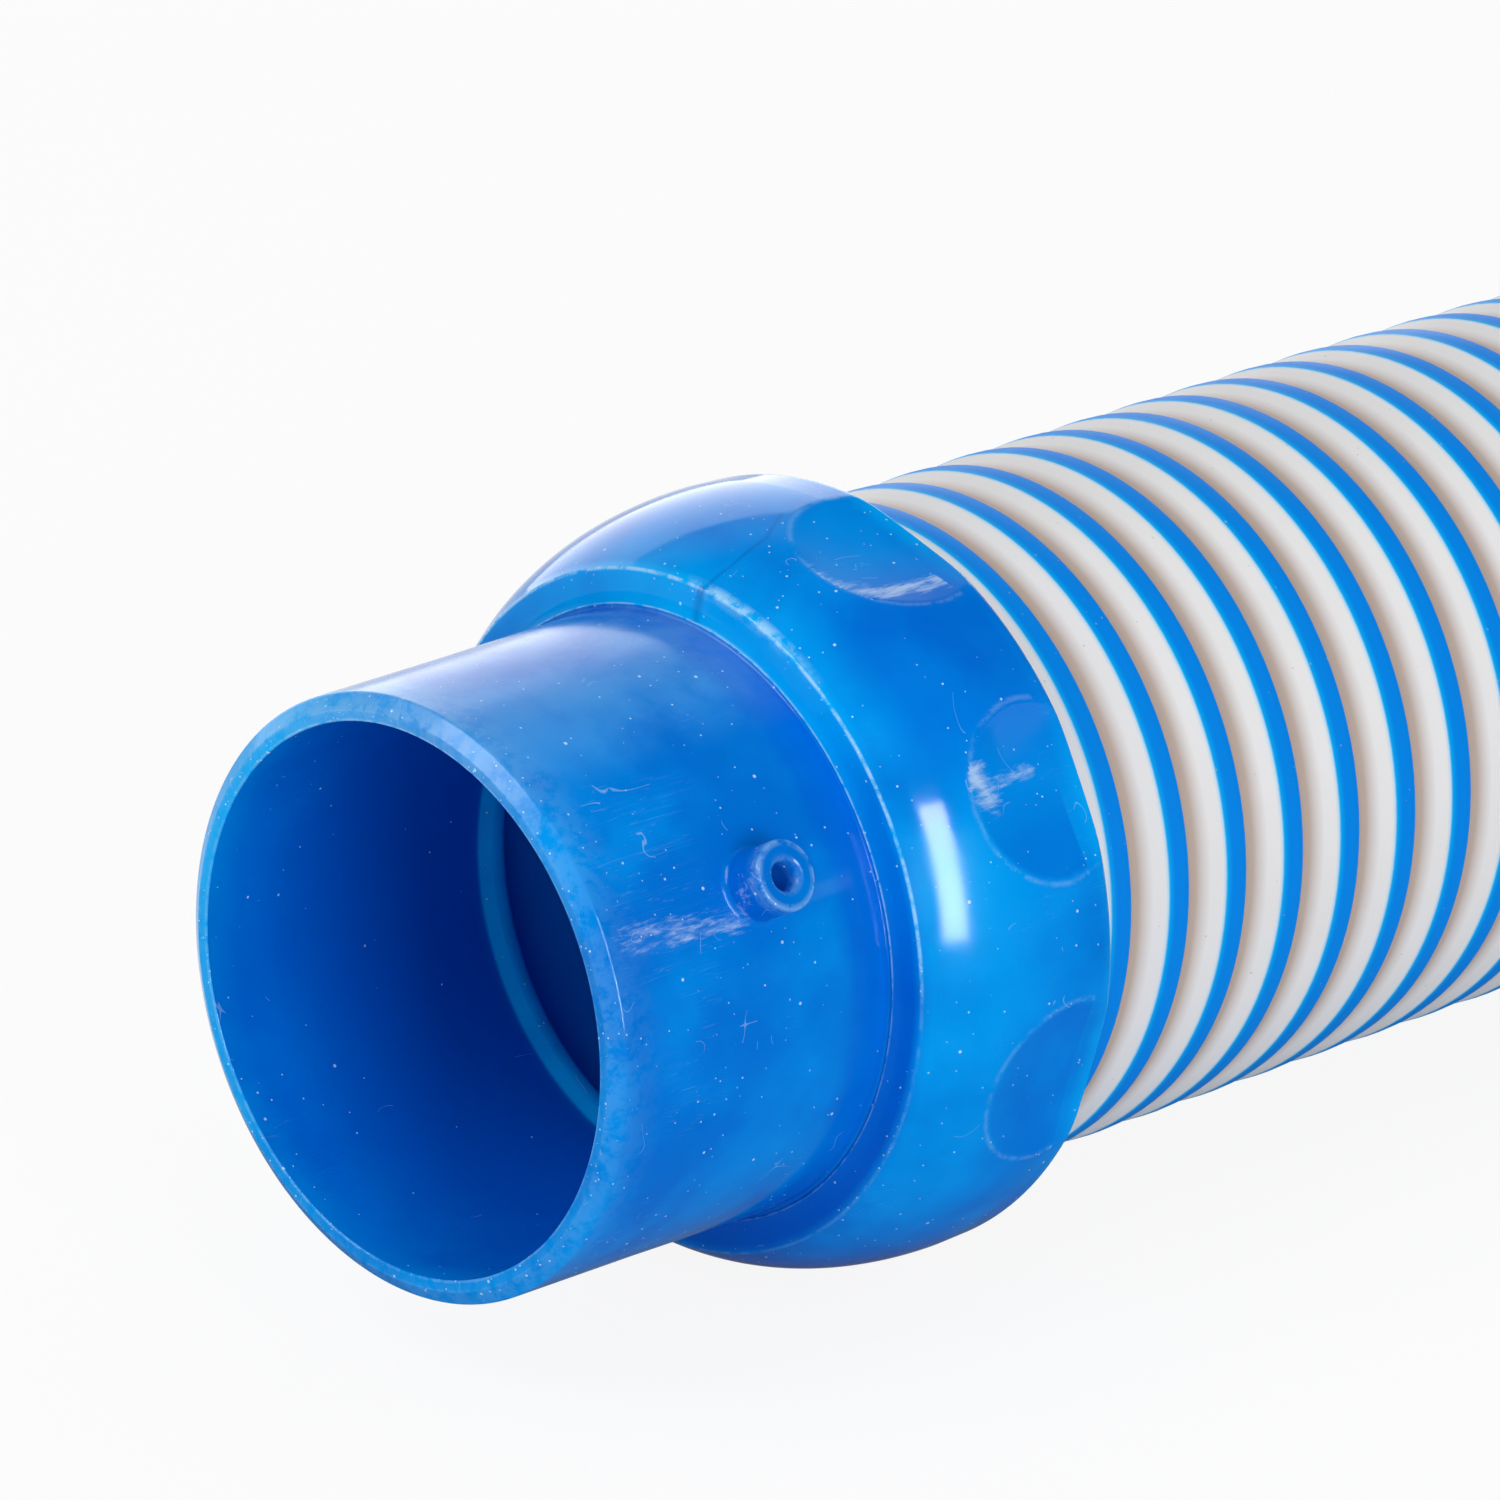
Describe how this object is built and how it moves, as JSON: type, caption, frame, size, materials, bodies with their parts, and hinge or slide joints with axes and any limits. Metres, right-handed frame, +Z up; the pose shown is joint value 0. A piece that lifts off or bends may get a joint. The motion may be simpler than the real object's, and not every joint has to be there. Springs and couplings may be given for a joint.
{
  "type": "vacuum hose",
  "caption": "Ribbed, spiral-wound suction hose section for a pool cleaner, with a twist-lock spigot cuff at one end and its slotted socket cuff at the other",
  "frame": {"origin": "on the ground plane under the middle of the hose's length", "axes": "+X runs along the hose from the male cuff to the female cuff; +Z is up; the collars stand on Z = 0"},
  "size_m": [1, 0.0494, 0.0494],
  "materials": {
    "cuff_plastic": "smooth moulded, blue",
    "hose_strip": "spiral-wound strip, white grooves between blue ribs"
  },
  "bodies": {
    "root": {"male_cuff": "cuff_plastic", "hose": "hose_strip", "female_cuff": "cuff_plastic"}
  },
  "joints": []
}
